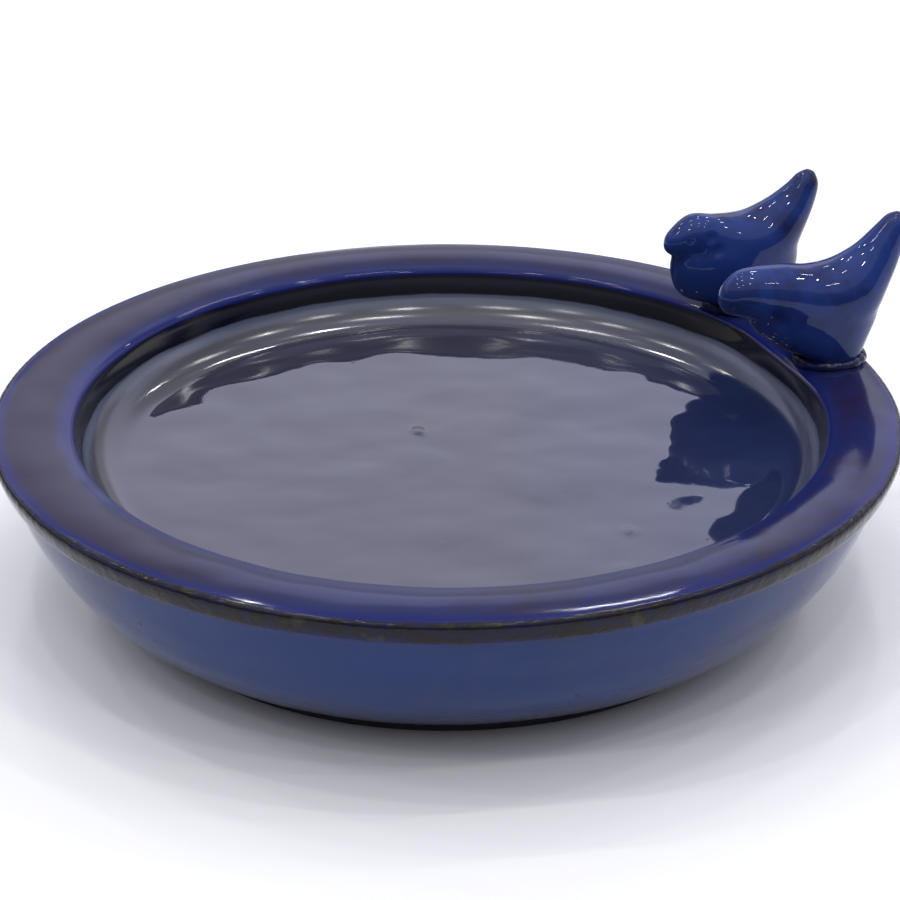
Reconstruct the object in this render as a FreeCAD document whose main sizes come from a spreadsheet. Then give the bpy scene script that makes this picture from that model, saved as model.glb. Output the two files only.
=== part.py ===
"""A glazed stoneware bird bath: a shallow dish on a hollow base, with two birds sitting on its rim.

Millimetres. The origin is the centre of the foot's circle, on the surface that the bath stands on.
+Z is up, +X points to the side where the birds sit, and -Y is the front.
"""

import FreeCAD
import Part
import Sketcher
import math
import os

doc = FreeCAD.newDocument("BirdBath")

# ---------------------------------------------------------------- driving sizes

SIZES = {
    # The dish: a broad crowned rim, a short steep wall, a cove and a flat floor.
    "rim_diameter": 321,
    "rim_width": 28.2,
    "rim_height": 66,
    "rim_crown": 1.8,
    "rim_inward_fall": 1,
    "lip_depth": 8.5,
    "lip_taper": 2.3,
    "lip_edge_round": 1.8,
    "mouth_edge_round": 1.5,
    "dish_wall": 7.5,
    "dish_depth": 18,
    "dish_wall_draft": 3,
    "cove_run": 13.5,
    "cove_rise": 9,
    "cove_bulge": 2.4,
    "floor_thickness": 8,
    "underside_bulge": 3,
    # The base: a bellied ring wall that is tucked under the lip.
    "seam_inset": 3.2,
    "belly_wall": 8,
    "belly_bulge": 7.7,
    # The foot: a bare ring that the base stands on.
    "foot_diameter": 223,
    "foot_land": 10,
    "foot_height": 3,
    "foot_inset": 2,
    "foot_edge_round": 0.8,
    # Each bird's place round the rim in degrees from +X, how far it stands outside the rim's crest,
    # and its turn in degrees.
    "left_bird_place": 41.5,
    "left_bird_outset": 1,
    "left_bird_turn": 24,
    "right_bird_place": 18.2,
    "right_bird_outset": 0,
    "right_bird_turn": 20,
    "bird_flatness": 0.96,
    "bird_wall": 3.5,
    # How a bird meets the rim.
    "waist_land": 2.3,
    "waist_sink": 2.4,
    "slip_bead": 2.4,
    "vent_diameter": 7,
    "vent_inset": 3.8,
}

# A bird's body is a row of ovals from beak to tail: how far along the bird each one stands from its foot,
# its height above the rim's crest, its half depth, and the lean of the body there in degrees.
BODY_OVALS = {
    "left": {
        "beak": (-32.6, 26.6, 1.6, 0),
        "face": (-30.2, 27.4, 4.6, 0),
        "head": (-21, 28.8, 8.6, 0),
        "breast": (-12, 24.8, 11.2, -8),
        "body": (-2, 21.5, 14, 12),
        "rump": (9.5, 24.3, 13.2, 35),
        "tail_root": (18.5, 32.4, 9.4, 52),
        "tail": (24.6, 39.8, 6.4, 60),
        "tail_end": (27.4, 44.6, 4.6, 62),
        "tail_tip": (28.6, 47.8, 1.6, 66),
    },
    "right": {
        "beak": (-44.6, 27.6, 1.6, 0),
        "face": (-42, 28, 5.6, 0),
        "head": (-35.6, 29, 8.8, 0),
        "breast": (-22, 26, 11.8, -8),
        "body": (-7, 22.2, 14.2, 8),
        "rump": (6.2, 24.4, 14, 27),
        "tail_root": (15.4, 34, 9.6, 45),
        "tail": (21.2, 43.2, 6.6, 58),
        "tail_end": (24.8, 49.2, 4.6, 62),
        "tail_tip": (26, 52, 1.6, 66),
    },
}
# Under the body a stem of level ovals comes down to the round waist on the rim:
# how far along the bird each one's middle is, its height above the crest, half length and half width.
STEM_OVALS = {
    "left": {"flare": (-2.4, 7, 23.2, 13), "girth": (-2.8, 18, 26.4, 14.2), "shoulder": (-3, 26, 22, 12)},
    "right": {"flare": (-4.4, 8, 19.2, 12.8), "girth": (-7, 17, 25, 13.4), "shoulder": (-8, 25, 22, 12)},
}
for side, ovals in BODY_OVALS.items():
    for station, (along, height, radius, _) in ovals.items():
        SIZES[f"{side}_{station}_along"] = along
        SIZES[f"{side}_{station}_height"] = height
        SIZES[f"{side}_{station}_radius"] = radius
for side, ovals in STEM_OVALS.items():
    for station, (along, height, length, width) in ovals.items():
        SIZES[f"{side}_{station}_along"] = along
        SIZES[f"{side}_{station}_height"] = height
        SIZES[f"{side}_{station}_half_length"] = length
        SIZES[f"{side}_{station}_half_width"] = width

sheet = doc.addObject("Spreadsheet::Sheet", "Sizes")
for row, (name, value) in enumerate(SIZES.items(), start=1):
    sheet.set(f"A{row}", name)
    sheet.set(f"B{row}", str(value))
    sheet.setAlias(f"B{row}", name)
doc.recompute()

# ---------------------------------------------------------------- radii and levels that follow from them

levels = doc.addObject("App::VarSet", "Levels")
LEVELS = {
    "rim_radius": "Sizes.rim_diameter / 2",
    "mouth_radius": "Levels.rim_radius - Sizes.rim_width",
    "mouth_level": "Sizes.rim_height - Sizes.rim_inward_fall",
    "crest_radius": "Levels.rim_radius - Sizes.rim_width / 2",
    "left_bird_radius": "Levels.crest_radius + Sizes.left_bird_outset",
    "right_bird_radius": "Levels.crest_radius + Sizes.right_bird_outset",
    "left_vent_radius": "Levels.left_bird_radius - Sizes.vent_inset",
    "right_vent_radius": "Levels.right_bird_radius - Sizes.vent_inset",
    "crest_level": "Sizes.rim_height - Sizes.rim_inward_fall / 2 + Sizes.rim_crown",
    "seam_level": "Sizes.rim_height - Sizes.lip_depth",
    "lip_foot_radius": "Levels.rim_radius - Sizes.lip_taper",
    "floor_level": "Levels.mouth_level - Sizes.dish_depth",
    "cove_top_radius": "Levels.mouth_radius - Sizes.dish_wall_draft",
    "cove_top_level": "Levels.floor_level + Sizes.cove_rise",
    "floor_radius": "Levels.cove_top_radius - Sizes.cove_run",
    "dish_outer_radius": "Levels.mouth_radius + Sizes.dish_wall",
    "underside_level": "Levels.floor_level - Sizes.floor_thickness",
    "underside_radius": "Levels.floor_radius + Sizes.dish_wall",
    "belly_top_radius": "Levels.lip_foot_radius - Sizes.seam_inset",
    "belly_top_inner": "Levels.belly_top_radius - Sizes.belly_wall",
    "foot_radius": "Sizes.foot_diameter / 2",
    "foot_inner_radius": "Levels.foot_radius - Sizes.foot_land",
    "belly_foot_radius": "Levels.foot_radius + Sizes.foot_inset",
    "belly_foot_level": "Sizes.foot_height",
    "waist_radius": "Sizes.rim_width / 2 - Sizes.waist_land",
}
for name, formula in LEVELS.items():
    levels.addProperty("App::PropertyFloat", name, "Levels")
    levels.setExpression(name, formula)
    doc.recompute()


def value(name):
    """The number that a size or a level has now, and 0 for the bath's own axis."""
    if name == "axis" or name == "ground":
        return 0.0
    return float(getattr(sheet if name in SIZES else levels, name))


def formula(name):
    """The words that bind a constraint to a size or a level."""
    return f"Sizes.{name}" if name in SIZES else f"Levels.{name}"


# ---------------------------------------------------------------- turned pieces


def new_body(label):
    body = doc.addObject("PartDesign::Body", f"{label}_body")
    body.Label = label
    return body


def sketch_on(body, name, role):
    """An empty sketch on one of the body's own origin planes."""
    sketch = body.newObject("Sketcher::SketchObject", name)
    plane = next(f for f in body.Origin.OriginFeatures if f.Role == role)
    sketch.AttachmentSupport = [(plane, "")]
    sketch.MapMode = "FlatFace"
    return sketch


def bind(sketch, constraint, name, expression):
    """Adds a constraint under a name and ties it to an expression."""
    index = sketch.addConstraint(constraint)
    sketch.renameConstraint(index, name)
    sketch.setExpression(f"Constraints.{name}", expression)


def turned_outline(sketch, corners):
    """A closed outline of (radius, height, bulge) corners: bulge names how far the side that starts there bows out.

    A bulge is a size's name, with a minus sign in front where the side bows to the outline's right.
    """
    points = [FreeCAD.Vector(value(r), value(z), 0) for r, z, _ in corners]
    starts, ends = [], []
    for i, (radius, height, bulge) in enumerate(corners):
        here, there = points[i], points[(i + 1) % len(points)]
        if bulge is None:
            index = sketch.addGeometry(Part.LineSegment(here, there))
            starts.append((index, 1))
            ends.append((index, 2))
            continue
        bow = value(bulge.lstrip("-")) * (-1 if bulge.startswith("-") else 1)
        along = there - here
        left = FreeCAD.Vector(-along.y, along.x, 0).normalize()
        middle = (here + there) * 0.5 + left * bow
        anticlockwise = bow < 0
        first, last = (here, there) if anticlockwise else (there, here)
        index = sketch.addGeometry(Part.Arc(first, middle, last))
        starts.append((index, 1 if anticlockwise else 2))
        ends.append((index, 2 if anticlockwise else 1))
    for i in range(len(corners)):
        sketch.addConstraint(Sketcher.Constraint("Coincident", *ends[i - 1], *starts[i]))
    for i, (radius, height, bulge) in enumerate(corners):
        if radius == "axis":
            sketch.addConstraint(Sketcher.Constraint("PointOnObject", *starts[i], -2))
        else:
            distance = Sketcher.Constraint("DistanceX", -1, 1, *starts[i], value(radius))
            bind(sketch, distance, f"radius_{i}", formula(radius))
        if height == "ground":
            sketch.addConstraint(Sketcher.Constraint("PointOnObject", *starts[i], -1))
        else:
            distance = Sketcher.Constraint("DistanceY", -1, 1, *starts[i], value(height))
            bind(sketch, distance, f"height_{i}", formula(height))
        if bulge is not None:
            next_radius, next_height, _ = corners[(i + 1) % len(corners)]
            bow = formula(bulge.lstrip("-"))
            chord = (
                f"(({formula(next_radius)} - {formula(radius)})^2"
                f" + ({formula(next_height)} - {formula(height)})^2)"
            )
            index = starts[i][0]
            arc = Sketcher.Constraint("Radius", index, sketch.Geometry[index].Radius)
            bind(sketch, arc, f"bow_{i}", f"{chord} / (8 * {bow}) + {bow} / 2")


def turn(body, corners):
    """Spins an outline about the bath's axis."""
    sketch = sketch_on(body, f"{body.Label}_outline", "XZ_Plane")
    turned_outline(sketch, corners)
    turned = body.newObject("PartDesign::Revolution", f"{body.Label}_turned")
    turned.Profile = sketch
    turned.ReferenceAxis = (sketch, ["V_Axis"])
    turned.Angle = 360
    sketch.Visibility = False
    doc.recompute()
    return turned


def round_edges(body, base, name, rings, size):
    """Rounds the full circles of base that lie at the given (radius, height) names."""
    edges = []
    for i, edge in enumerate(base.Shape.Edges, start=1):
        if not isinstance(edge.Curve, Part.Circle):
            continue
        for radius, height in rings:
            level = value(height)
            if abs(edge.Curve.Radius - value(radius)) < 0.01 and abs(edge.Curve.Center.z - level) < 0.01:
                edges.append(f"Edge{i}")
    if len(edges) != len(rings):
        raise RuntimeError(f"{name}: {len(edges)} edges found for {len(rings)} rings")
    fillet = body.newObject("PartDesign::Fillet", name)
    fillet.Base = (base, edges)
    fillet.setExpression("Radius", formula(size))
    doc.recompute()
    return fillet


# The dish is one turned piece: rim, wall, cove and floor.
dish = new_body("dish")
dish_turned = turn(
    dish,
    [
        ("axis", "underside_level", None),
        ("underside_radius", "underside_level", "-underside_bulge"),
        ("dish_outer_radius", "seam_level", None),
        ("lip_foot_radius", "seam_level", None),
        ("rim_radius", "rim_height", "-rim_crown"),
        ("mouth_radius", "mouth_level", None),
        ("cove_top_radius", "cove_top_level", "cove_bulge"),
        ("floor_radius", "floor_level", None),
        ("axis", "floor_level", None),
    ],
)
lip_rounded = round_edges(dish, dish_turned, "lip_edge", [("rim_radius", "rim_height")], "lip_edge_round")
mouth_rounded = round_edges(
    dish, lip_rounded, "mouth_edge", [("mouth_radius", "mouth_level")], "mouth_edge_round"
)

# The base's wall carries the dish by its rim and leaves the underside open.
base_wall = new_body("base_wall")
turn(
    base_wall,
    [
        ("foot_inner_radius", "belly_foot_level", None),
        ("belly_foot_radius", "belly_foot_level", "-belly_bulge"),
        ("belly_top_radius", "seam_level", None),
        ("belly_top_inner", "seam_level", "belly_bulge"),
    ],
)

# The foot ring is luted under the base and wiped clean of glaze.
foot_ring = new_body("foot_ring")
foot_turned = turn(
    foot_ring,
    [
        ("foot_inner_radius", "ground", None),
        ("foot_radius", "ground", None),
        ("foot_radius", "belly_foot_level", None),
        ("foot_inner_radius", "belly_foot_level", None),
    ],
)
round_edges(
    foot_ring,
    foot_turned,
    "foot_edge",
    [("foot_radius", "ground"), ("foot_inner_radius", "ground")],
    "foot_edge_round",
)

# ---------------------------------------------------------------- vents through the rim, one under each bird

vents = sketch_on(dish, "vent_holes", "XY_Plane")
vents.setExpression("AttachmentOffset.Base.z", "Levels.seam_level")
for side in ("left", "right"):
    place = math.radians(value(f"{side}_bird_place"))
    centre = FreeCAD.Vector(math.cos(place), math.sin(place), 0) * value(f"{side}_vent_radius")
    ring = vents.addGeometry(Part.Circle(centre, FreeCAD.Vector(0, 0, 1), value("vent_diameter") / 2))
    angle = f"Sizes.{side}_bird_place * 1 deg"
    across = Sketcher.Constraint("DistanceX", -1, 1, ring, 3, centre.x)
    bind(vents, across, f"{side}_across", f"Levels.{side}_vent_radius * cos({angle})")
    deep = Sketcher.Constraint("DistanceY", -1, 1, ring, 3, centre.y)
    bind(vents, deep, f"{side}_deep", f"Levels.{side}_vent_radius * sin({angle})")
    bore = Sketcher.Constraint("Diameter", ring, value("vent_diameter"))
    bind(vents, bore, f"{side}_bore", "Sizes.vent_diameter")
doc.recompute()
unvented_volume = mouth_rounded.Shape.Volume
vent_pocket = dish.newObject("PartDesign::Pocket", "vents")
vent_pocket.Profile = vents
vent_pocket.Type = "ThroughAll"
vent_pocket.Reversed = True
vents.Visibility = False
doc.recompute()
if vent_pocket.Shape.Volume > unvented_volume - 1:
    raise RuntimeError("the vents cut nothing")

# ---------------------------------------------------------------- birds

HOLLOW = ("head", "breast", "body", "rump", "tail_root", "tail")


def oval(name, along, height, lean, half_depth, half_width):
    """One oval of a bird, upright across X when lean is 0 and lying level when lean is 90."""
    ellipse = doc.addObject("Part::Ellipse", name)
    ellipse.Placement = FreeCAD.Placement(
        FreeCAD.Vector(0, 0, 0), FreeCAD.Rotation(FreeCAD.Vector(0, 1, 0), 90 - lean)
    )
    ellipse.setExpression("Placement.Base.x", along)
    ellipse.setExpression("Placement.Base.z", f"Levels.crest_level + {height}")
    ellipse.setExpression("MajorRadius", half_depth)
    ellipse.setExpression("MinorRadius", half_width)
    ellipse.Visibility = False
    return ellipse


def loft(name, sections):
    skin = doc.addObject("Part::Loft", name)
    skin.Sections = sections
    skin.Solid = True
    skin.Ruled = False
    return skin


def body_loft(side, name, stations, wall):
    """The bird from beak to tail, or the hollow inside it when wall takes something off."""
    ovals = []
    for station in stations:
        size = f"Sizes.{side}_{station}"
        lean = BODY_OVALS[side][station][3]
        depth = f"({size}_radius{wall})"
        width = f"{depth} * Sizes.bird_flatness"
        ovals.append(oval(f"{name}_{station}", f"{size}_along", f"{size}_height", lean, depth, width))
    return loft(name, ovals)


def stem_loft(side, name, wall):
    """The stem between the bird's body and the rim: round at the rim, long and oval inside the body."""
    waist = f"Levels.waist_radius{wall}"
    ovals = [
        oval(f"{name}_seat", "0", "0 - Sizes.waist_sink", 90, waist, waist),
        oval(f"{name}_neck", "0", "Sizes.slip_bead", 90, waist, waist),
    ]
    for station in STEM_OVALS[side]:
        size = f"Sizes.{side}_{station}"
        length = f"{size}_half_length{wall}"
        width = f"{size}_half_width{wall}"
        ovals.append(oval(f"{name}_{station}", f"{size}_along", f"{size}_height", 90, length, width))
    return loft(name, ovals)


def joined(name, pieces):
    union = doc.addObject("Part::MultiFuse", name)
    union.Shapes = pieces
    return union


def cut(name, piece, tool):
    rest = doc.addObject("Part::Cut", name)
    rest.Base = piece
    rest.Tool = tool
    return rest


def stand_on_rim(piece, side):
    """Turns a piece about its own foot and carries it out to its place on the rim's crest."""
    piece.Placement = FreeCAD.Placement(
        FreeCAD.Vector(0, 0, 0), FreeCAD.Rotation(FreeCAD.Vector(0, 0, 1), 1)
    )
    angle = f"Sizes.{side}_bird_place * 1 deg"
    piece.setExpression("Placement.Base.x", f"Levels.{side}_bird_radius * cos({angle})")
    piece.setExpression("Placement.Base.y", f"Levels.{side}_bird_radius * sin({angle})")
    piece.setExpression("Placement.Rotation.Angle", f"Sizes.{side}_bird_turn * 1 deg")
    return piece


def bird(side):
    """A hollow bird and the bead of slip round its waist, both shaped to the rim they sit on."""
    outside = joined(
        f"{side}_outside",
        [body_loft(side, f"{side}_skin", BODY_OVALS[side], ""), stem_loft(side, f"{side}_stem", "")],
    )
    wall = " - Sizes.bird_wall"
    inside = joined(
        f"{side}_inside",
        [body_loft(side, f"{side}_hollow", HOLLOW, wall), stem_loft(side, f"{side}_pour_hole", wall)],
    )
    shell = stand_on_rim(cut(f"{side}_shell", outside, inside), side)
    seated = cut(f"{side}_bird_seated", shell, dish)
    seated.Label = f"{side}_bird"

    bead = doc.addObject("Part::Torus", f"{side}_bead")
    bead.setExpression("Radius1", "Levels.waist_radius")
    bead.setExpression("Radius2", "Sizes.slip_bead")
    bead.setExpression("Placement.Base.z", "Levels.crest_level")
    collar = stand_on_rim(cut(f"{side}_collar", bead, outside), side)
    slip = cut(f"{side}_slip_seated", collar, dish)
    slip.Label = f"{side}_slip_bead"
    return [seated, slip]


sub_parts = [dish, base_wall, foot_ring] + bird("left") + bird("right")
doc.recompute()

# ---------------------------------------------------------------- checks, then one file for each sub-part

for item in doc.Objects:
    faults = [state for state in item.State if state in ("Invalid", "Error")]
    if faults:
        raise RuntimeError(f"{item.Name} is {faults}")

os.makedirs("parts", exist_ok=True)
for part in sub_parts:
    shape = part.Shape
    if shape.isNull() or not shape.isValid() or len(shape.Solids) != 1:
        raise RuntimeError(f"{part.Label}: null, not valid or {len(shape.Solids)} solids")
    shape.exportStep(f"parts/{part.Label}.step")
    box = shape.BoundBox
    print(
        f"{part.Label}: {shape.Volume / 1000:.1f} cm3,"
        f" x {box.XMin:.1f}..{box.XMax:.1f}, y {box.YMin:.1f}..{box.YMax:.1f}, z {box.ZMin:.1f}..{box.ZMax:.1f}"
    )
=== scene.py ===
import math

import bpy
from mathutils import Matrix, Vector


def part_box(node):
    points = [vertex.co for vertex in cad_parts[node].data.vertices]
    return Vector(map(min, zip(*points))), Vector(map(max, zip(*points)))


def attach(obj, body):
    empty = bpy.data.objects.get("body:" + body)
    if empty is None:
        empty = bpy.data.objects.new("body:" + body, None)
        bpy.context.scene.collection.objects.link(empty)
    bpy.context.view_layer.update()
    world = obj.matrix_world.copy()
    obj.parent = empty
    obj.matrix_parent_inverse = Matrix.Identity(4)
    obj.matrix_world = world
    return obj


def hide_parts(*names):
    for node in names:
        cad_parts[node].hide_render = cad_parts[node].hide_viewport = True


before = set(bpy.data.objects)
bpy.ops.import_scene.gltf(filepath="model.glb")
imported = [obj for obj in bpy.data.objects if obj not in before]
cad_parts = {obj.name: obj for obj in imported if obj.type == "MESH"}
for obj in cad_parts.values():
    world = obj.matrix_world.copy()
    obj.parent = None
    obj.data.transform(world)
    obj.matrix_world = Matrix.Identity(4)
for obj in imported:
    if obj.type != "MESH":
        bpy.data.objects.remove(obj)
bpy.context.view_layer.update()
bpy.ops.object.select_all(action="DESELECT")

# ---------------------------------------------------------------- the dish
# A shallow stoneware dish with a broad flat rim, pressed into a mould and turned on the wheel.
# The glaze was poured in and the rim dipped: it lies thick and milky in the bottom and runs dark down the
# wall, which is painted nearly black, partly as painted shade; the rim's rounded outer edge is painted as a
# dark brown line of painted shade, flecked with olive glaze breaks.

MM = 0.001
ROUND = math.tau
TURNS = 256

dish_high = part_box("dish")[1]
wall_low, wall_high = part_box("base_wall")
rim_radius = dish_high.y
crest = dish_high.z
seam = wall_high.z
rim_shoulder = crest - 1.4 * MM
dish_floor = seam - 10.5 * MM
floor_radius = rim_radius - 44.3 * MM
mouth_radius = rim_radius - 27.8 * MM
under_radius = rim_radius - 36.7 * MM
tuck_radius = rim_radius - 20.2 * MM


def bowed(start, end, bulge, spacing):
    """Points from start to end along a run that bows out to its left by bulge, without the start itself."""
    start, end = Vector(start), Vector(end)
    chord = end - start
    left = Vector((-chord.y, chord.x)).normalized()
    steps = max(1, round(chord.length / spacing))
    for step in range(1, steps + 1):
        share = step / steps
        yield start + chord * share + left * (4 * bulge * share * (1 - share))


def throw(name, start, runs):
    """Turns an outline of (radius, height) points about the pot's axis, as clay is turned on a wheel."""
    bpy.ops.mesh.primitive_plane_add(size=MM)
    piece = bpy.context.object
    piece.name = piece.data.name = name
    bpy.ops.object.mode_set(mode="EDIT")
    bpy.ops.mesh.merge(type="CENTER")
    bpy.ops.transform.translate(value=(start[0], 0, start[1]))
    here = Vector(start)
    for end, bulge, spacing in runs:
        for point in bowed(here, end, bulge, spacing):
            step = point - here
            bpy.ops.mesh.extrude_region_move(TRANSFORM_OT_translate={"value": (step.x, 0, step.y)})
            here = point
    bpy.ops.mesh.select_all(action="SELECT")
    bpy.ops.mesh.spin(steps=TURNS, angle=ROUND, center=(0, 0, 0), axis=(0, 0, 1))
    bpy.ops.mesh.select_all(action="SELECT")
    bpy.ops.mesh.remove_doubles(threshold=MM / 500)
    bpy.ops.mesh.normals_make_consistent(inside=False)
    bpy.ops.object.mode_set(mode="OBJECT")
    bpy.ops.object.shade_smooth()
    return piece


def finish_modifiers(piece):
    bpy.ops.object.select_all(action="DESELECT")
    piece.select_set(True)
    bpy.context.view_layer.objects.active = piece
    for modifier in list(piece.modifiers):
        bpy.ops.object.modifier_apply(modifier=modifier.name)


def uneven(piece, name, wave, swing, direction="NORMAL", where=""):
    """A hand-made unevenness: soft lumps wave across, moved in or out by up to half of swing."""
    lumps = bpy.data.textures.new(name, "CLOUDS")
    lumps.noise_scale = wave
    lumps.noise_depth = 1
    pushed = piece.modifiers.new(name, "DISPLACE")
    pushed.texture = lumps
    pushed.texture_coords = "LOCAL"
    pushed.direction = direction
    pushed.strength = swing
    pushed.vertex_group = where


def weigh(piece, name, weight_at):
    """A vertex group whose weight is worked out from each vertex's radius and height."""
    group = piece.vertex_groups.new(name=name)
    for vertex in piece.data.vertices:
        weight = weight_at(math.hypot(vertex.co.x, vertex.co.y), vertex.co.z)
        if weight > 0:
            group.add([vertex.index], weight, "REPLACE")


dish = throw(
    "glazed_dish",
    (0, dish_floor),
    [
        ((floor_radius, dish_floor), 0, 2.4 * MM),
        ((mouth_radius - 2.9 * MM, seam - 1.5 * MM), -2.4 * MM, 1.2 * MM),
        ((mouth_radius - 0.4 * MM, crest - 4.6 * MM), 0.2 * MM, 1.2 * MM),
        ((mouth_radius + 2.6 * MM, rim_shoulder - 0.4 * MM), 0.9 * MM, 0.6 * MM),
        ((rim_radius - 2.3 * MM, rim_shoulder - 0.2 * MM), 1.3 * MM, 2.0 * MM),
        ((rim_radius - 0.2 * MM, crest - 3.9 * MM), 0.65 * MM, 0.5 * MM),
        ((rim_radius - 1.7 * MM, seam + 1.2 * MM), 0.1 * MM, 1.2 * MM),
        ((rim_radius - 3.4 * MM, seam + 0.1 * MM), 0.45 * MM, 0.6 * MM),
        ((tuck_radius, seam + 0.1 * MM), 0, 3.0 * MM),
        ((under_radius, dish_floor - 8.0 * MM), 0, 3.0 * MM),
        ((0, dish_floor - 8.0 * MM), 0, 4.0 * MM),
    ],
)

# The mouth was trimmed a little off centre, so the rim is broader on the left.
mouth_drift = 1.6 * MM
for vertex in dish.data.vertices:
    from_axis = math.hypot(vertex.co.x, vertex.co.y)
    give = min(1, max(0, (rim_radius - 3 * MM - from_axis) / (rim_radius - 3 * MM - mouth_radius)))
    vertex.co.x += mouth_drift * give * give * (3 - 2 * give)

# Clay and glaze are built up on the mouth's edge below the right bird's seat.
build_up = 3.2 * MM
build_up_at = math.radians(21)
build_up_spread = math.radians(17)
for vertex in dish.data.vertices:
    from_axis = math.hypot(vertex.co.x, vertex.co.y)
    aside = abs(math.atan2(vertex.co.y, vertex.co.x) - build_up_at) / build_up_spread
    up_wall = min(1, max(0, (vertex.co.z - seam + 1.5 * MM) / (7 * MM)))
    off_edge = min(1, max(0, (mouth_radius + 10 * MM - from_axis) / (9 * MM)))
    if aside < 1 and from_axis > mouth_radius - 5 * MM:
        pull = 1 - build_up * (1 - aside**2) ** 2 * up_wall * off_edge / from_axis
        vertex.co.x *= pull
        vertex.co.y *= pull

weigh(
    dish,
    "poured_floor",
    lambda radius, height: min(1, max(0, (floor_radius + 4 * MM - radius) / (14 * MM)))
    if height > dish_floor - MM
    else 0,
)
weigh(
    dish,
    "rim_top",
    lambda radius, height: min(1, max(0, (rim_radius - 1 * MM - radius) / (6 * MM)))
    if height > seam + 2 * MM and radius > mouth_radius - 3 * MM
    else 0,
)
uneven(dish, "long_waves", 36 * MM, 1.2 * MM, "Z", "poured_floor")
uneven(dish, "short_waves", 14 * MM, 0.26 * MM, "Z", "poured_floor")
uneven(dish, "rim_waves", 30 * MM, 0.7 * MM, "Z", "rim_top")
finish_modifiers(dish)


def press(piece, place, push, reach):
    """A finger or tool pressed at place, or a blister raised there, with a soft edge reach away."""
    for vertex in piece.data.vertices:
        away = (vertex.co - Vector(place)).length / reach
        if away < 1:
            vertex.co += Vector(push) * (1 - away * away) ** 2


# Three blisters where gas lifted the thick glaze in the bottom.
BLISTERS = [(-10.2, 23.4, 0.55, 4.0), (62.1, -56.9, 0.40, 4.2), (58.4, -84.7, 0.35, 4.0)]
for across, back, lift, reach in BLISTERS:
    press(dish, (across * MM, back * MM, dish_floor), (0, 0, lift * MM), reach * MM)


def node(tree, kind, inputs=None, **settings):
    """A shader node with its settings and inputs; an input is a plain value or another node's output."""
    made = tree.nodes.new(kind)
    for setting, value in settings.items():
        setattr(made, setting, value)
    for socket, value in (inputs or {}).items():
        if isinstance(value, bpy.types.NodeSocket):
            tree.links.new(value, made.inputs[socket])
        else:
            made.inputs[socket].default_value = value
    return made


def calculate(tree, operation, *terms):
    return node(tree, "ShaderNodeMath", dict(enumerate(terms)), operation=operation).outputs[0]


def blend(tree, amount, first, second):
    mixed = node(tree, "ShaderNodeMix", {0: amount, 6: first, 7: second}, data_type="RGBA")
    return mixed.outputs[2]


def ramp(tree, value, low=0.0, high=1.0, at_low=0.0, at_high=1.0):
    """Goes evenly from at_low to at_high while value goes from low to high, and no further."""
    return node(tree, "ShaderNodeMapRange", {0: value, 1: low, 2: high, 3: at_low, 4: at_high}).outputs[0]


def bump(tree, shader, height, strength, depth):
    relief = node(tree, "ShaderNodeBump", {"Height": height, "Strength": strength, "Distance": depth})
    tree.links.new(relief.outputs[0], shader.inputs["Normal"])


def banded(tree, amount, stops):
    """Colours laid in bands along amount, each stop a place and a colour."""
    bands = node(tree, "ShaderNodeValToRGB", {0: amount})
    bands.color_ramp.interpolation = "EASE"
    while len(bands.color_ramp.elements) < len(stops):
        bands.color_ramp.elements.new(0.5)
    for element, (place, colour) in zip(bands.color_ramp.elements, stops):
        element.position = place
        element.color = colour if len(colour) == 4 else (*colour, 1)
    return bands.outputs[0]


def new_group(name, inputs, outputs):
    """An empty shader node group with named sockets; returns its tree and its two end nodes."""
    tree = bpy.data.node_groups.new(name, "ShaderNodeTree")
    for socket, (kind, value) in inputs.items():
        made = tree.interface.new_socket(name=socket, in_out="INPUT", socket_type=kind)
        made.default_value = value
    for socket, kind in outputs.items():
        tree.interface.new_socket(name=socket, in_out="OUTPUT", socket_type=kind)
    return tree, tree.nodes.new("NodeGroupInput"), tree.nodes.new("NodeGroupOutput")


def use_group(tree, group, inputs):
    placed = node(tree, "ShaderNodeGroup", node_tree=group)
    for socket, value in inputs.items():
        if isinstance(value, bpy.types.NodeSocket):
            tree.links.new(value, placed.inputs[socket])
        else:
            placed.inputs[socket].default_value = value
    return placed


GREY = "NodeSocketFloat"
COLOUR = "NodeSocketColor"

# How far a point is from the pot's axis and above the table, with a wander so that no band is ruled.
pot_place, place_in, place_out = new_group(
    "pot_place",
    {"Wander": (GREY, 0.002), "Wander scale": (GREY, 30.0), "Off centre": (GREY, 0.0)},
    {"Radius": GREY, "Height": GREY},
)
coords = node(pot_place, "ShaderNodeTexCoord").outputs["Object"]
split = node(pot_place, "ShaderNodeSeparateXYZ", {0: coords})
drift = node(
    pot_place,
    "ShaderNodeTexNoise",
    {"Vector": coords, "Scale": place_in.outputs["Wander scale"], "Detail": 3.0},
)
wander = calculate(
    pot_place,
    "MULTIPLY",
    calculate(pot_place, "SUBTRACT", drift.outputs[0], 0.5),
    place_in.outputs["Wander"],
)
from_middle = calculate(pot_place, "SUBTRACT", split.outputs[0], place_in.outputs["Off centre"])
squared = calculate(
    pot_place,
    "ADD",
    calculate(pot_place, "MULTIPLY", from_middle, from_middle),
    calculate(pot_place, "MULTIPLY", split.outputs[1], split.outputs[1]),
)
pot_place.links.new(
    calculate(pot_place, "ADD", calculate(pot_place, "SQRT", squared), wander), place_out.inputs["Radius"]
)
pot_place.links.new(calculate(pot_place, "ADD", split.outputs[2], wander), place_out.inputs["Height"])

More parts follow.
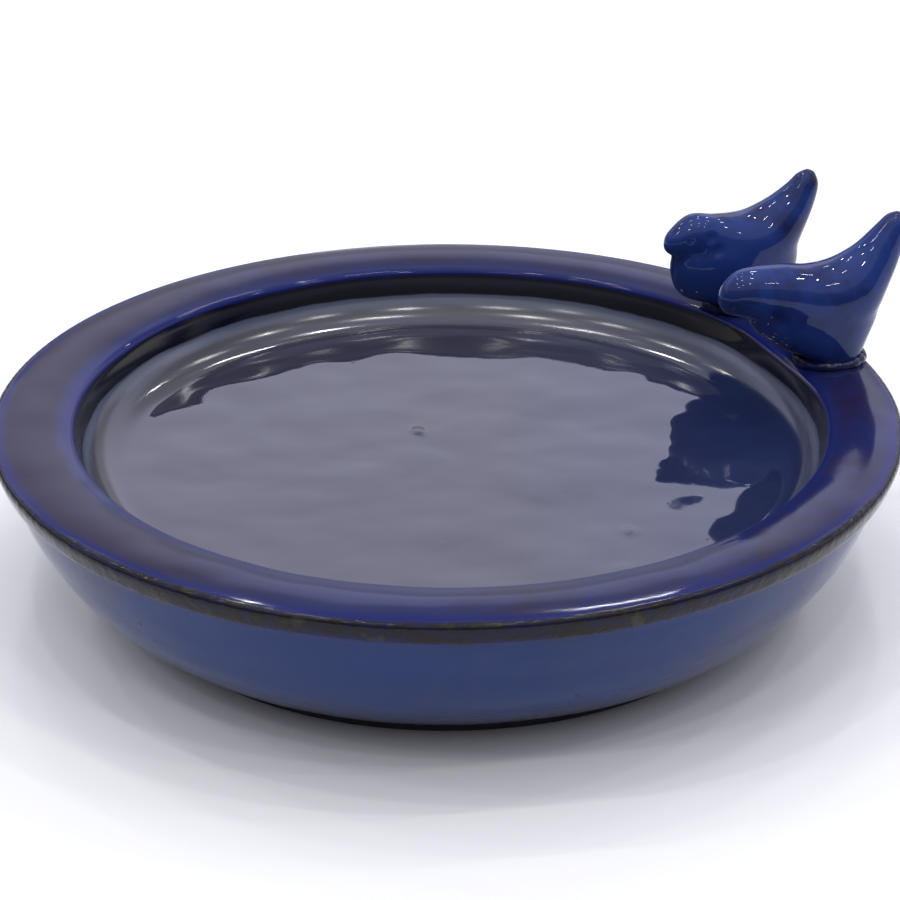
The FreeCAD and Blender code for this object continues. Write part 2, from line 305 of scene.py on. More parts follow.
# Where the glaze pooled thick or ran thin: broad clouds with finer mottling inside them.
glaze_tone, tone_in, tone_out = new_group(
    "glaze_tone",
    {
        "Thick": (COLOUR, (0.01, 0.015, 0.1, 1)),
        "Thin": (COLOUR, (0.03, 0.018, 0.045, 1)),
        "Cloud scale": (GREY, 14.0),
        "Mottle scale": (GREY, 160.0),
        "Thin share": (GREY, 0.5),
    },
    {"Color": COLOUR, "Thinness": GREY},
)
coords = node(glaze_tone, "ShaderNodeTexCoord").outputs["Object"]
clouds = node(
    glaze_tone,
    "ShaderNodeTexNoise",
    {"Vector": coords, "Scale": tone_in.outputs["Cloud scale"], "Detail": 4.0, "Distortion": 0.6},
)
mottle = node(
    glaze_tone,
    "ShaderNodeTexNoise",
    {"Vector": coords, "Scale": tone_in.outputs["Mottle scale"], "Detail": 5.0},
)
amount = calculate(
    glaze_tone,
    "ADD",
    clouds.outputs[0],
    calculate(glaze_tone, "MULTIPLY", calculate(glaze_tone, "SUBTRACT", mottle.outputs[0], 0.5), 0.35),
)
thinness = ramp(
    glaze_tone,
    amount,
    calculate(glaze_tone, "SUBTRACT", 0.85, tone_in.outputs["Thin share"]),
    calculate(glaze_tone, "SUBTRACT", 1.1, tone_in.outputs["Thin share"]),
)
glaze_tone.links.new(
    blend(glaze_tone, thinness, tone_in.outputs["Thick"], tone_in.outputs["Thin"]), tone_out.inputs["Color"]
)
glaze_tone.links.new(thinness, tone_out.inputs["Thinness"])

# Pinholes and specks where gas broke through the glaze, and the faint orange-peel of a fired glaze.
fired_skin, skin_in, skin_out = new_group(
    "fired_skin",
    {"Pinhole scale": (GREY, 130.0), "Pinhole share": (GREY, 0.1), "Peel scale": (GREY, 90.0)},
    {"Pinholes": GREY, "Height": GREY},
)
coords = node(fired_skin, "ShaderNodeTexCoord").outputs["Object"]
cells = node(
    fired_skin, "ShaderNodeTexVoronoi", {"Vector": coords, "Scale": skin_in.outputs["Pinhole scale"]}
)
chosen = calculate(
    fired_skin,
    "LESS_THAN",
    node(fired_skin, "ShaderNodeSeparateColor", {0: cells.outputs["Color"]}).outputs[0],
    skin_in.outputs["Pinhole share"],
)
dots = ramp(fired_skin, cells.outputs["Distance"], 0.05, 0.14, 1.0, 0.0)
pinholes = calculate(fired_skin, "MULTIPLY", chosen, dots)
peel = node(
    fired_skin,
    "ShaderNodeTexNoise",
    {"Vector": coords, "Scale": skin_in.outputs["Peel scale"], "Detail": 2.0},
)
fired_skin.links.new(pinholes, skin_out.inputs["Pinholes"])
fired_skin.links.new(
    calculate(fired_skin, "SUBTRACT", peel.outputs[0], pinholes),
    skin_out.inputs["Height"],
)


def new_material(name):
    material = bpy.data.materials.new(name)
    material.use_nodes = True
    tree = material.node_tree
    return material, tree, tree.nodes["Principled BSDF"]


PURPLE_BROWN = (0.018, 0.010, 0.027)
RIM_BLUE = (0.012, 0.018, 0.092)
VIVID_BLUE = (0.007, 0.012, 0.120)
EDGE_BROWN = (0.012, 0.010, 0.012)
OLIVE = (0.034, 0.034, 0.024)
SPECK = (0.014, 0.010, 0.010)
EDGE_BLUE = (0.010, 0.011, 0.035)
RIM_IOR = 1.30

# The dipped rim: satin blue, with purple brown patches where the coat is thin, most of all on the left.
rim_glaze, tree, shader = new_material("rim_glaze")
place = use_group(tree, pot_place, {"Wander": 0.0030, "Wander scale": 38.0})
share_of_radius = calculate(tree, "DIVIDE", place.outputs["Radius"], rim_radius)
# painted shade: the deeper vivid blue bands at the mouth's edge and near the outer edge stand for where the
# rounded edges reflect less light
bands = banded(
    tree,
    share_of_radius,
    [(0.822, VIVID_BLUE), (0.850, RIM_BLUE), (0.950, RIM_BLUE), (0.982, VIVID_BLUE)],
)
tone = use_group(tree, glaze_tone, {"Cloud scale": 11.0, "Mottle scale": 120.0, "Thin share": 0.36})
object_coords = node(tree, "ShaderNodeTexCoord").outputs["Object"]
sideways = node(tree, "ShaderNodeSeparateXYZ", {0: object_coords}).outputs[0]
left_side = ramp(tree, sideways, -0.8 * rim_radius, -0.2 * rim_radius, 1.0, 0.04)
thinness = calculate(tree, "ADD", tone.outputs["Thinness"], left_side)
thinness = calculate(tree, "MULTIPLY", calculate(tree, "MINIMUM", thinness, 1.0), 0.8)
NONE = (0, 0, 0)
ALL = (1, 1, 1)
on_rim = banded(tree, share_of_radius, [(0.84, NONE), (0.87, ALL), (0.955, ALL), (0.985, NONE)])
patches = calculate(tree, "MULTIPLY", thinness, on_rim)
glazed = blend(tree, patches, bands, (*PURPLE_BROWN, 1))
# painted shade: the rim's rounded outer edge is painted a dark brown line, flecked with blue and with olive
# glaze breaks
edge_zone = ramp(tree, place.outputs["Radius"], rim_radius - 2.9 * MM, rim_radius - 1.5 * MM)
edge_noise = node(tree, "ShaderNodeTexNoise", {"Vector": object_coords, "Scale": 95.0, "Detail": 4.0})
edge_colour = banded(
    tree,
    edge_noise.outputs[0],
    [(0.42, EDGE_BROWN), (0.50, EDGE_BLUE), (0.58, EDGE_BROWN), (0.70, OLIVE)],
)
glazed = blend(tree, edge_zone, glazed, edge_colour)
skin = use_group(tree, fired_skin, {"Pinhole scale": 150.0, "Pinhole share": 0.04, "Peel scale": 60.0})
glazed = blend(tree, calculate(tree, "MULTIPLY", skin.outputs["Pinholes"], 0.7), glazed, (*SPECK, 1))
tree.links.new(glazed, shader.inputs["Base Color"])
roughness = ramp(tree, patches, 0.0, 1.0, 0.07, 0.20)
tree.links.new(roughness, shader.inputs["Roughness"])
shader.inputs["IOR"].default_value = RIM_IOR
crumbled = node(tree, "ShaderNodeTexNoise", {"Vector": object_coords, "Scale": 260.0, "Detail": 3.0})
crumbs = calculate(tree, "MULTIPLY", edge_zone, crumbled.outputs[0])
height = calculate(tree, "ADD", skin.outputs["Height"], calculate(tree, "MULTIPLY", crumbs, 9.0))
bump(tree, shader, height, 0.10, 0.6 * MM)

# The poured inside: a thick glassy pool, greyer on the left and bluer towards the birds, with a painted
# highlight line at the foot of the wall and the dark wall painted nearly black, partly as painted shade.
POOL_GREY = (0.023, 0.022, 0.043)
POOL_BLUE = (0.015, 0.023, 0.072)
COVE_HIGHLIGHT = (0.080, 0.095, 0.150)
WALL_GLAZE_AND_SHADE = (0.0006, 0.0010, 0.0085)
POOL_CLOUD = (0.032, 0.033, 0.062)
POOL_IOR = 1.68
COVE_SATIN = 0.13

poured_glaze, tree, shader = new_material("poured_glaze")
place = use_group(tree, pot_place, {"Wander": 0.0016, "Wander scale": 45.0, "Off centre": mouth_drift})
object_coords = node(tree, "ShaderNodeTexCoord").outputs["Object"]
tone = use_group(tree, glaze_tone, {"Cloud scale": 9.0, "Mottle scale": 80.0, "Thin share": 0.36})
sideways = node(tree, "ShaderNodeSeparateXYZ", {0: object_coords}).outputs[0]
to_birds = ramp(tree, sideways, 0.15 * rim_radius, 0.62 * rim_radius)
pool = blend(tree, to_birds, (*POOL_GREY, 1), (*POOL_BLUE, 1))
clouded = calculate(tree, "MULTIPLY", tone.outputs["Thinness"], 0.35)
pool = blend(tree, clouded, pool, (*POOL_CLOUD, 1))
# painted highlight: a pale line at the foot of the wall, where the cove bends up to the overhead light
line_from = (mouth_radius - 4.1 * MM) / rim_radius
line_to = (mouth_radius - 2.9 * MM) / rim_radius
pale = banded(
    tree,
    calculate(tree, "DIVIDE", place.outputs["Radius"], rim_radius),
    [(line_from - 0.010, NONE), (line_from, ALL), (line_to, ALL), (line_to + 0.003, NONE)],
)
pool = blend(tree, pale, pool, (*COVE_HIGHLIGHT, 1))
# partly painted shade: the dark glazed wall under the rim's edge is painted nearly black, as if in shade
up_wall = ramp(tree, place.outputs["Height"], seam - 1.3 * MM, seam - 0.7 * MM)
pool = blend(tree, up_wall, pool, (*WALL_GLAZE_AND_SHADE, 1))
# painted shade: the top of the wall under the mouth's edge is painted vivid blue where the rounded edge
# reflects less light
near_edge = ramp(tree, place.outputs["Height"], crest - 4.2 * MM, crest - 2.6 * MM)
pool = blend(tree, near_edge, pool, (*VIVID_BLUE, 1))
skin = use_group(tree, fired_skin, {"Pinhole scale": 170.0, "Pinhole share": 0.05, "Peel scale": 70.0})
pool = blend(tree, calculate(tree, "MULTIPLY", skin.outputs["Pinholes"], 0.6), pool, (*SPECK, 1))
tree.links.new(pool, shader.inputs["Base Color"])
glassy = ramp(tree, tone.outputs["Thinness"], 0.0, 1.0, 0.03, 0.07)
up_cove = ramp(tree, place.outputs["Radius"], mouth_radius - 15 * MM, mouth_radius - 8 * MM)
satin = calculate(tree, "MULTIPLY", up_cove, COVE_SATIN)
tree.links.new(calculate(tree, "ADD", glassy, satin), shader.inputs["Roughness"])
shader.inputs["IOR"].default_value = POOL_IOR
bump(tree, shader, skin.outputs["Height"], 0.06, 0.5 * MM)

# Bare fired clay shows only underneath, where the glaze was wiped off so that the pot would not stick.
CLAY_LIGHT = (0.20, 0.135, 0.085)
CLAY_DARK = (0.11, 0.066, 0.040)
IRON_SPECK = (0.035, 0.022, 0.016)
bare_clay, tree, shader = new_material("bare_clay")
tone = use_group(
    tree,
    glaze_tone,
    {
        "Thick": (*CLAY_LIGHT, 1),
        "Thin": (*CLAY_DARK, 1),
        "Cloud scale": 16.0,
        "Mottle scale": 420.0,
        "Thin share": 0.42,
    },
)
skin = use_group(tree, fired_skin, {"Pinhole scale": 420.0, "Pinhole share": 0.22, "Peel scale": 650.0})
speckled = blend(tree, skin.outputs["Pinholes"], tone.outputs["Color"], (*IRON_SPECK, 1))
tree.links.new(speckled, shader.inputs["Base Color"])
shader.inputs["Roughness"].default_value = 0.86
bump(tree, shader, skin.outputs["Height"], 0.6, 0.4 * MM)


def coat(piece, materials, pick):
    """Gives each face one of the materials: pick names its number from the face's centre and normal."""
    for material in materials:
        piece.data.materials.append(material)
    for face in piece.data.polygons:
        face.material_index = pick(face.center, face.normal)


def outward(centre, normal):
    """More than nothing where a face looks away from the pot's axis."""
    return normal.x * centre.x + normal.y * centre.y


DIPPED, POURED, BARE = 0, 1, 2


def dish_finish(centre, normal):
    from_axis = math.hypot(centre.x, centre.y)
    hidden_side = normal.z < -0.3 or (outward(centre, normal) > 0 and abs(normal.z) < 0.9)
    if hidden_side and centre.z < seam + MM and from_axis < wall_high.x - 4 * MM:
        return BARE
    within_mouth = math.hypot(centre.x - mouth_drift, centre.y) < mouth_radius - 0.2 * MM
    below_edge = centre.z < crest - 4 * MM and from_axis < mouth_radius
    return POURED if within_mouth or below_edge else DIPPED


coat(dish, [rim_glaze, poured_glaze, bare_clay], dish_finish)
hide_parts("dish")
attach(dish, "root")

# ---------------------------------------------------------------- the base wall
# A sloping stoneware wall thrown as a ring and luted under the dish's lip with slip.
# Its outside carries the same blue glaze, poured over, painted greyer towards the foot as a painted
# reflection of the pale table and near black along its lowest edge as painted shade; its inside is bare.

belly_bow = 7.7 * MM
wall_thick = 8.0 * MM
foot_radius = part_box("foot_ring")[1].x
belly_top = wall_high.x
belly_foot = foot_radius + 2 * MM

base_wall = throw(
    "belly_wall",
    (belly_top, seam),
    [
        ((belly_top - 0.5 * MM, seam - 1.3 * MM), 0.2 * MM, 0.6 * MM),
        ((belly_foot, wall_low.z + 0.8 * MM), belly_bow, 2.6 * MM),
        ((belly_foot - 1.2 * MM, wall_low.z), 0.3 * MM, 0.6 * MM),
        ((belly_foot - wall_thick - 3.9 * MM, wall_low.z), 0, 3.0 * MM),
        ((belly_top - wall_thick, seam), -belly_bow, 4.0 * MM),
        ((belly_top, seam), 0, 3.0 * MM),
    ],
)
weigh(
    base_wall,
    "belly",
    lambda radius, height: min(1, max(0, (seam - 2 * MM - height) / (8 * MM)))
    * min(1, (height - wall_low.z) / (6 * MM)),
)
uneven(base_wall, "throwing_waves", 42 * MM, 0.9 * MM, "NORMAL", "belly")
finish_modifiers(base_wall)

BELLY_BLUE = (0.021, 0.044, 0.162)
BELLY_GREY = (0.038, 0.050, 0.124)
BELLY_TABLE_REFLECTION = (0.045, 0.044, 0.075)
BELLY_SPECK = (0.018, 0.012, 0.012)
GLAZE_END_SHADE = (0.020, 0.020, 0.034)
BELLY_IOR = 1.33
belly_glaze, tree, shader = new_material("belly_glaze")
place = use_group(tree, pot_place, {"Wander": 0.010, "Wander scale": 16.0})
tone = use_group(
    tree,
    glaze_tone,
    {
        "Thick": (*BELLY_BLUE, 1),
        "Thin": (*BELLY_GREY, 1),
        "Cloud scale": 13.0,
        "Mottle scale": 90.0,
        "Thin share": 0.34,
    },
)
# painted reflection: the lower belly is painted greyer, standing for the pale table it reflects
table_reflection = ramp(tree, place.outputs["Height"], 12 * MM, 24 * MM, 0.55, 0.0)
poured = blend(tree, table_reflection, tone.outputs["Color"], (*BELLY_TABLE_REFLECTION, 1))
near_lip = ramp(tree, place.outputs["Height"], seam - 3 * MM, seam + 2 * MM, 0.0, 0.45)
poured = blend(tree, near_lip, poured, (*EDGE_BROWN, 1))
# partly painted shade: the glaze ends in a wavering band above the foot, and that band is painted nearly
# black as painted shade
glaze_end_wander = use_group(tree, pot_place, {"Wander": 0.005, "Wander scale": 60.0})
glaze_end_shade = ramp(tree, glaze_end_wander.outputs["Height"], 3.8 * MM, 5.0 * MM, 1.0, 0.0)
skin = use_group(tree, fired_skin, {"Pinhole scale": 120.0, "Pinhole share": 0.05, "Peel scale": 60.0})
poured = blend(tree, calculate(tree, "MULTIPLY", skin.outputs["Pinholes"], 0.8), poured, (*BELLY_SPECK, 1))
poured = blend(tree, glaze_end_shade, poured, (*GLAZE_END_SHADE, 1))
tree.links.new(poured, shader.inputs["Base Color"])
roughness = ramp(tree, glaze_end_shade, 0.0, 1.0, 0.11, 0.6)
tree.links.new(roughness, shader.inputs["Roughness"])
shader.inputs["IOR"].default_value = BELLY_IOR
bump(tree, shader, skin.outputs["Height"], 0.2, 0.8 * MM)

coat(
    base_wall,
    [belly_glaze, bare_clay],
    lambda centre, normal: 1 if outward(centre, normal) < 0 and centre.z < seam - MM else 0,
)
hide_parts("base_wall")
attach(base_wall, "root")

# ---------------------------------------------------------------- the foot ring
# The turned ring that the bath stands on. It was wiped clean of glaze before firing,
# so it is bare stoneware, its outer face painted nearly black as painted shade under the belly.

foot_low, foot_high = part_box("foot_ring")
foot_land = 10 * MM
foot_ring = throw(
    "bare_foot_ring",
    (foot_radius - 0.5 * MM, foot_high.z),
    [
        ((foot_radius - 0.2 * MM, foot_low.z + 0.8 * MM), 0.2 * MM, 0.8 * MM),
        ((foot_radius - 1.0 * MM, foot_low.z), 0.25 * MM, 0.4 * MM),
        ((foot_radius - foot_land + 0.8 * MM, foot_low.z), 0, 2.0 * MM),
        ((foot_radius - foot_land, foot_low.z + 0.8 * MM), 0.25 * MM, 0.4 * MM),
        ((foot_radius - foot_land + 0.2 * MM, foot_high.z), 0.1 * MM, 0.8 * MM),
        ((foot_radius - 0.5 * MM, foot_high.z), 0, 2.0 * MM),
    ],
)

FOOT_SHADE = (0.020, 0.016, 0.022)
FOOT_SPECK = (0.03, 0.02, 0.015)
foot_clay, tree, shader = new_material("foot_clay")
place = use_group(tree, pot_place, {"Wander": 0.004, "Wander scale": 45.0})
tone = use_group(
    tree,
    glaze_tone,
    {
        "Thick": (*CLAY_LIGHT, 1),
        "Thin": (*CLAY_DARK, 1),
        "Cloud scale": 20.0,
        "Mottle scale": 380.0,
        "Thin share": 0.45,
    },
)
# painted shade: the outer face of the ring is painted nearly black, as shade under the belly
foot_shade = ramp(tree, place.outputs["Radius"], foot_radius - 5 * MM, foot_radius - 2 * MM)
skin = use_group(tree, fired_skin, {"Pinhole scale": 380.0, "Pinhole share": 0.25, "Peel scale": 600.0})
worn = blend(tree, skin.outputs["Pinholes"], tone.outputs["Color"], (*FOOT_SPECK, 1))
worn = blend(tree, foot_shade, worn, (*FOOT_SHADE, 1))
tree.links.new(worn, shader.inputs["Base Color"])
shader.inputs["Roughness"].default_value = 0.8
bump(tree, shader, skin.outputs["Height"], 0.6, 0.4 * MM)

foot_ring.data.materials.append(foot_clay)
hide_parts("foot_ring")
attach(foot_ring, "root")

# ---------------------------------------------------------------- the two birds
# Two small hollow birds, each pinched from one ball of clay: head low, tail drawn up to a blunt tip,
# and a stem below that was scored and pressed on to the rim. They were dipped whole in the same blue.

SIDES = 36
STEPS_BETWEEN = 5
FLATNESS = 0.96
CLAY_GRAIN = 0.75

# A body's rows are along, height, half thickness and lean. A stem's are along, height, half length and
# half width.
LEFT_BODY = [
    (-32.6, 26.6, 1.6, 0),
    (-30.2, 27.4, 4.6, 0),
    (-21.0, 28.8, 8.6, 0),
    (-12.0, 24.8, 11.2, -8),
    (-2.0, 21.5, 14.0, 12),
    (9.5, 24.3, 13.2, 35),
    (18.5, 32.4, 9.4, 52),
    (24.6, 39.8, 6.4, 60),
    (27.4, 44.6, 4.6, 62),
    (28.6, 47.8, 1.6, 66),
]
RIGHT_BODY = [
    (-44.6, 27.6, 1.6, 0),
    (-42.0, 28.0, 5.6, 0),
    (-35.6, 29.0, 8.8, 0),
    (-22.0, 26.0, 11.8, -8),
    (-7.0, 22.2, 14.2, 8),
    (6.2, 24.4, 14.0, 27),
    (15.4, 34.0, 9.6, 45),
    (21.2, 43.2, 6.6, 58),
    (24.8, 49.2, 4.6, 62),
    (26.0, 52.0, 1.6, 66),
]
WAIST = 11.8
SEAT = [(0, -2.4, WAIST, WAIST), (0, 1.8, WAIST, WAIST)]
LEFT_STEM = SEAT + [
    (-2.4, 6.4, 23.2, 13.0),
    (-2.8, 18.0, 26.4, 14.2),
    (-3.0, 26.0, 22.0, 12.0),
    (-4.0, 30.5, 13.0, 8.0),
]
RIGHT_STEM = SEAT + [
    (-4.4, 8.0, 19.4, 12.8),
    (-7.0, 17.0, 25.4, 13.4),
    (-8.0, 25.0, 22.0, 12.0),
    (-9.0, 29.0, 13.0, 8.0),
]


def drawn_out(rows, steps):
    """The rows with steps to each gap, on one smooth curve through them all."""
    rows = [Vector(row) for row in rows]
    rows = [rows[0] * 2 - rows[1]] + rows + [rows[-1] * 2 - rows[-2]]
    for before, start, end, after in zip(rows, rows[1:], rows[2:], rows[3:]):
        for step in range(steps):
            t = step / steps
            yield (
                start * 2
                + (end - before) * t
                + (before * 2 - start * 5 + end * 4 - after) * t**2
                + (start * 3 - before - end * 3 + after) * t**3
            ) / 2
    yield rows[-2]


def roll_clay(name, rings):
    """A roll of clay drawn out ring by ring; a ring is along, height, half depth, half width and lean."""
    along, height, depth, width, lean = rings[0]
    bpy.ops.mesh.primitive_circle_add(vertices=SIDES, radius=MM, fill_type="NGON")
    roll = bpy.context.object
    roll.name = name
    roll.location = (along * MM, 0, height * MM)
    roll.rotation_euler = (0, math.radians(90 - lean), 0)
    roll.scale = (depth, width, 1)
    bpy.ops.object.transform_apply(location=True, rotation=True, scale=True)
    bpy.ops.object.mode_set(mode="EDIT")
    bpy.ops.mesh.select_all(action="SELECT")
    for now, then in zip(rings, rings[1:]):
        step = ((then[0] - now[0]) * MM, 0, (then[1] - now[1]) * MM)
        centre = (then[0] * MM, 0, then[1] * MM)
        bpy.ops.mesh.extrude_region_move(TRANSFORM_OT_translate={"value": step})
        deeper, wider = then[2] / now[2], then[3] / now[3]
        bpy.ops.transform.resize(value=(deeper, wider, deeper), center_override=centre)
        turn = math.radians(then[4] - now[4])
        bpy.ops.transform.rotate(value=turn, orient_axis="Y", center_override=centre)
    bpy.ops.mesh.select_all(action="SELECT")
    bpy.ops.mesh.normals_make_consistent(inside=False)
    bpy.ops.object.mode_set(mode="OBJECT")
    return roll


def pinch_bird(name, body, stem, voxel):
    """The body and its stem as one skin, smoothed as wet fingers leave it."""
    body_rings = drawn_out([(a, h, r, r * FLATNESS, lean) for a, h, r, lean in body], STEPS_BETWEEN)
    stem_rings = drawn_out([(a, h, length, width, 90) for a, h, length, width in stem], STEPS_BETWEEN)
    trunk = roll_clay(name + "_stem", list(stem_rings))
    bird = roll_clay(name, list(body_rings))
    trunk.select_set(True)
    bpy.context.view_layer.objects.active = bird
    bpy.ops.object.join()
    fuse = bird.modifiers.new("fuse", "REMESH")
    fuse.mode = "VOXEL"
    fuse.voxel_size = voxel * MM
    finish_modifiers(bird)
    weigh(
        bird,
        "breast",
        lambda radius, height: min(1, max(0, (35 * MM - height) / (8 * MM)))
        * min(1, max(0, (37 * MM - radius) / (8 * MM)))
        * min(1, max(0, (height - 3 * MM) / (4 * MM))),
    )
    for area, rounds in (("breast", 70), ("", 8)):
        soften = bird.modifiers.new("soften", "SMOOTH")
        soften.factor = 0.5
        soften.iterations = rounds
        soften.vertex_group = area
    finish_modifiers(bird)
    return bird


def stand_on_rim(piece, place, radius, turn):
    """Turns a piece about its own foot and sets it out on the rim's crest."""
    across = math.radians(place)
    piece.rotation_euler = (0, 0, math.radians(turn))
    piece.location = (radius * math.cos(across), radius * math.sin(across), crest)
    bpy.ops.object.select_all(action="DESELECT")
    piece.select_set(True)
    bpy.context.view_layer.objects.active = piece
    bpy.ops.object.transform_apply(location=True, rotation=True, scale=True)
    bpy.ops.object.shade_smooth()


rim_middle = rim_radius - 13.65 * MM
LEFT_SPOT = (41.5, rim_middle + 1.0 * MM, 24)
RIGHT_SPOT = (18.2, rim_middle, 20)

BIRD_BLUE = (0.014, 0.037, 0.182)
BIRD_DARK = (0.010, 0.014, 0.072)
BIRD_PIT = (0.008, 0.007, 0.020)
BIRD_IOR = 1.34
TAIL_REACH = 12 * MM
TAIL_EDGE_OUT = 2.5
TAIL_EDGE_DOWN = 4.0


def bird_glaze(name, tail_tip):
    """The dipped blue, with painted shade in black brown on the shaded outer side of the tail tip, split
    into flakes.
    """
    material, tree, shader = new_material(name)
    coords = node(tree, "ShaderNodeTexCoord").outputs["Object"]
    tone = use_group(
        tree,
        glaze_tone,
        {
            "Thick": (*BIRD_BLUE, 1),
            "Thin": (*BIRD_DARK, 1),
            "Cloud scale": 48.0,
            "Mottle scale": 170.0,
            "Thin share": 0.38,
        },
    )
    # painted shade: the shaded outer side of the tail tip is painted black brown, split into flakes
    apart = node(tree, "ShaderNodeVectorMath", {0: coords, 1: tail_tip}, operation="DISTANCE")
    near_tip = ramp(tree, apart.outputs["Value"], TAIL_REACH * 0.3, TAIL_REACH, 1.0, 0.0)
    flakes = node(tree, "ShaderNodeTexNoise", {"Vector": coords, "Scale": 210.0, "Detail": 4.0})
    tail_shade = ramp(
        tree, calculate(tree, "MULTIPLY", near_tip, flakes.outputs[0]), 0.34, 0.46, 0.0, 0.9
    )
    skin = use_group(tree, fired_skin, {"Pinhole scale": 260.0, "Pinhole share": 0.05, "Peel scale": 120.0})
    glazed = blend(tree, tail_shade, tone.outputs["Color"], (*EDGE_BROWN, 1))
    glazed = blend(tree, calculate(tree, "MULTIPLY", skin.outputs["Pinholes"], 0.6), glazed, (*BIRD_PIT, 1))
    tree.links.new(glazed, shader.inputs["Base Color"])
    roughness = ramp(tree, tail_shade, 0.0, 1.0, 0.03, 0.3)
    tree.links.new(roughness, shader.inputs["Roughness"])
    shader.inputs["IOR"].default_value = BIRD_IOR
    bump(tree, shader, skin.outputs["Height"], 0.34, 0.5 * MM)
    return material


def tail_tip_of(body, spot):
    """Where the outer edge of a bird's tail tip comes once the bird is on the rim."""
    along = body[-1][0] + TAIL_EDGE_OUT
    height = body[-1][1] - TAIL_EDGE_DOWN
    place, radius, turn = spot
    across, turned = math.radians(place), math.radians(turn)
    return (
        radius * math.cos(across) + along * MM * math.cos(turned),
        radius * math.sin(across) + along * MM * math.sin(turned),
        crest + height * MM,
    )


# The left bird has a pressed eye on each side and a crease at the neck; the right one was left smooth.
# Each mark is its place, the push of the finger or tool, and how far the push reaches.
MARKS = {
    "left": [
        ((-25.5, -8.0, 30.0), (0.5, 0.75, 0), 2.6),
        ((-25.5, 8.0, 30.0), (0.5, -0.75, 0), 2.6),
        ((-23.0, -8.6, 25.0), (0.2, 0.5, 0), 3.2),
        ((-17.0, -9.5, 31.0), (0, 0.8, -0.3), 3.4),
        ((-15.5, -10.5, 26.0), (0, 0.6, 0), 3.6),
    ],
    "right": [],
}

for side, body, stem, spot in (
    ("left", LEFT_BODY, LEFT_STEM, LEFT_SPOT),
    ("right", RIGHT_BODY, RIGHT_STEM, RIGHT_SPOT),
):
    bird = pinch_bird(side + "_clay_bird", body, stem, CLAY_GRAIN)
    for place, push, reach in MARKS[side]:
        press(bird, Vector(place) * MM, Vector(push) * MM, reach * MM)
    stand_on_rim(bird, *spot)
    bird.data.materials.append(bird_glaze(side + "_bird_glaze", tail_tip_of(body, spot)))
    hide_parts(side + "_bird")
    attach(bird, "root")

# ---------------------------------------------------------------- the slip beads
# Where each bird was stuck to the rim, the wet slip squeezed out as a rough collar.
# It was left unsmoothed, and the glaze lies over its lumps dark and thick.

BEAD = 2.1
BEAD_THICK = (0.010, 0.018, 0.095)
BEAD_THIN = (0.007, 0.009, 0.040)
BEAD_IOR = 1.38
bead_glaze, tree, shader = new_material("bead_glaze")
tone = use_group(
    tree,
    glaze_tone,
    {
        "Thick": (*BEAD_THICK, 1),
        "Thin": (*BEAD_THIN, 1),
        "Cloud scale": 120.0,
        "Mottle scale": 500.0,
        "Thin share": 0.45,
    },
)
skin = use_group(tree, fired_skin, {"Pinhole scale": 500.0, "Pinhole share": 0.12, "Peel scale": 300.0})
tree.links.new(tone.outputs["Color"], shader.inputs["Base Color"])
roughness = ramp(tree, tone.outputs["Thinness"], 0.0, 1.0, 0.07, 0.22)
tree.links.new(roughness, shader.inputs["Roughness"])
shader.inputs["IOR"].default_value = BEAD_IOR
bump(tree, shader, skin.outputs["Height"], 0.5, 0.6 * MM)

for side, spot in (("left", LEFT_SPOT), ("right", RIGHT_SPOT)):
    bpy.ops.object.select_all(action="DESELECT")
    bpy.ops.mesh.primitive_torus_add(
        major_radius=WAIST * MM, minor_radius=BEAD * MM, major_segments=120, minor_segments=24
    )
    bead = bpy.context.object
    bead.name = bead.data.name = side + "_slip_collar"
    uneven(bead, side + "_squeezed", 6.0 * MM, 1.3 * MM)
    uneven(bead, side + "_crumbs", 1.8 * MM, 0.4 * MM)
    finish_modifiers(bead)
    stand_on_rim(bead, *spot)
    bead.data.materials.append(bead_glaze)
    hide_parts(side + "_slip_bead")
    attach(bead, "root")

# ---------------------------------------------------------------- the table, the light and the camera
# A pale matt table top under a white studio ceiling with rows of small lamps, as a shop would light it.
# The camera stands back and looks down into the dish.

bpy.ops.object.select_all(action="DESELECT")
bpy.ops.mesh.primitive_plane_add(size=6)
table = bpy.context.object
table.name = "pale_table"
bpy.ops.object.mode_set(mode="EDIT")
bpy.ops.transform.translate(value=(0, 0, foot_low.z - 0.05 * MM))
bpy.ops.mesh.subdivide(number_cuts=4)
bpy.ops.object.mode_set(mode="OBJECT")
table_paint, tree, shader = new_material("table_paint")
shader.inputs["Base Color"].default_value = (0.93, 0.93, 0.93, 1)
shader.inputs["Roughness"].default_value = 0.9
table.data.materials.append(table_paint)

BRIGHTEST = 2.0
COOL = Vector((0.98, 0.98, 1.24))
PLAIN = Vector((1.0, 1.0, 1.02))
world = bpy.data.worlds.new("studio")
bpy.context.scene.world = world
world.use_nodes = True
tree = world.node_tree
direction = node(tree, "ShaderNodeTexCoord").outputs["Generated"]
ways = node(tree, "ShaderNodeSeparateXYZ", {0: direction})


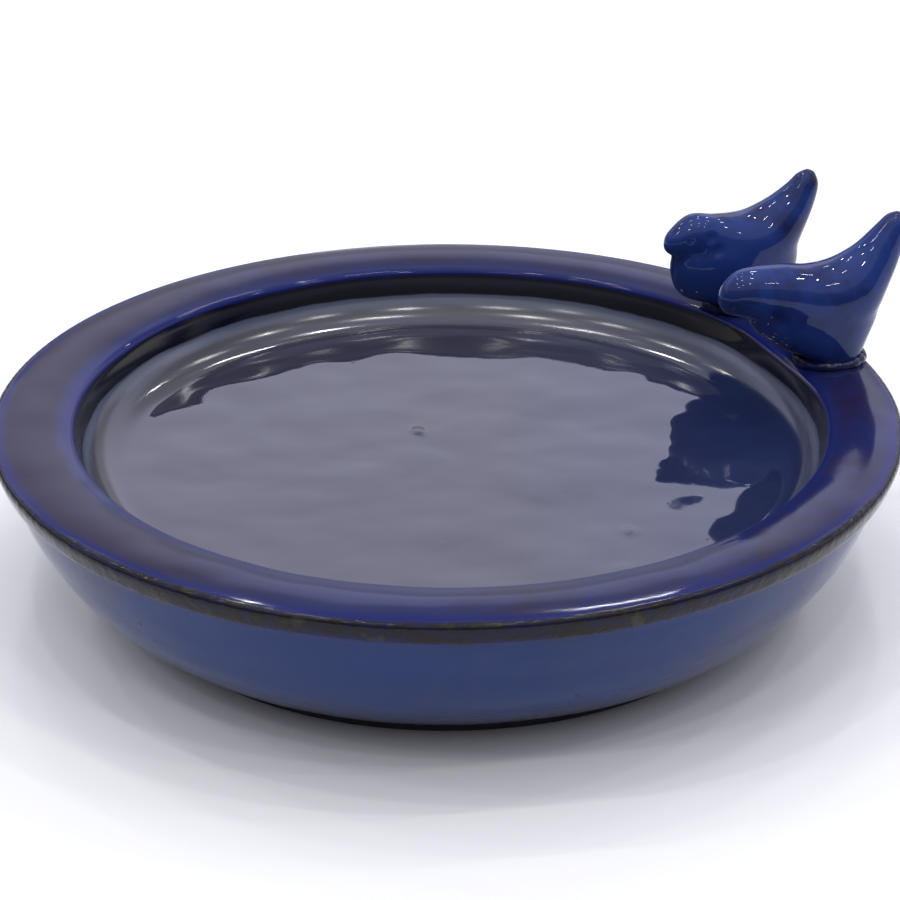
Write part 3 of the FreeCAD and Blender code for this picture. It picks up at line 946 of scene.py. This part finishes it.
def studio_side(low, above_low, window, wall, ceiling):
    """The studio from the horizon up: its lower wall, a long pale window, then wall and ceiling again."""
    levels = [
        (0.0, low),
        (0.27, above_low),
        (0.345, window),
        (0.49, window),
        (0.60, wall),
        (0.8, wall),
        (1.0, ceiling),
    ]
    stops = [(place, tuple((COOL if level == window else PLAIN) * level)) for place, level in levels]
    return banded(tree, ways.outputs[2], stops)


to_the_right = ramp(tree, ways.outputs[0], -0.34, -0.06)
to_the_back = ramp(tree, ways.outputs[1], -0.25, 0.15)
back = blend(
    tree,
    to_the_right,
    studio_side(0.16, 0.12, 0.47, 0.34, 0.60),
    studio_side(0.26, 0.32, 0.60, 0.34, 0.60),
)
sky = blend(tree, to_the_back, studio_side(0.05, 0.06, 0.10, 0.42, 0.62), back)
tree.links.new(sky, tree.nodes["Background"].inputs["Color"])
tree.nodes["Background"].inputs["Strength"].default_value = BRIGHTEST

LAMP_HEIGHT = 2.6
LAMP_WATTS = 3.8
TUBE = (0.30, 0.035)
BULB = (0.09, 0.09)
for row, across in enumerate((-1.7, -0.6, 0.5, 1.6)):
    for column, deep in enumerate((-1.6, -0.4, 0.8, 2.0)):
        bpy.ops.object.light_add(type="AREA", location=(across, deep + 0.2 * row, LAMP_HEIGHT))
        lamp = bpy.context.object
        lamp.name = f"lamp_{row}_{column}"
        lamp.data.shape = "RECTANGLE"
        lamp.data.size, lamp.data.size_y = TUBE if (row + column) % 2 else BULB
        lamp.data.energy = LAMP_WATTS

CAMERA_REACH = 1.2
CAMERA_TILT = 24.55
AIM_LOWER = 0.67
AIM_RIGHT = 0.064
LENS = 136.4
SENSOR = 36
rim_edge = crest - 1.3 * MM
tilt = math.radians(CAMERA_TILT)
bpy.ops.object.camera_add(
    location=(0, -CAMERA_REACH * math.cos(tilt), rim_edge + CAMERA_REACH * math.sin(tilt)),
    rotation=(math.radians(90 - CAMERA_TILT - AIM_LOWER), 0, math.radians(-AIM_RIGHT)),
)
camera = bpy.context.object
camera.data.lens = LENS
camera.data.sensor_width = SENSOR
bpy.context.scene.camera = camera
bpy.context.scene.view_settings.view_transform = "Standard"
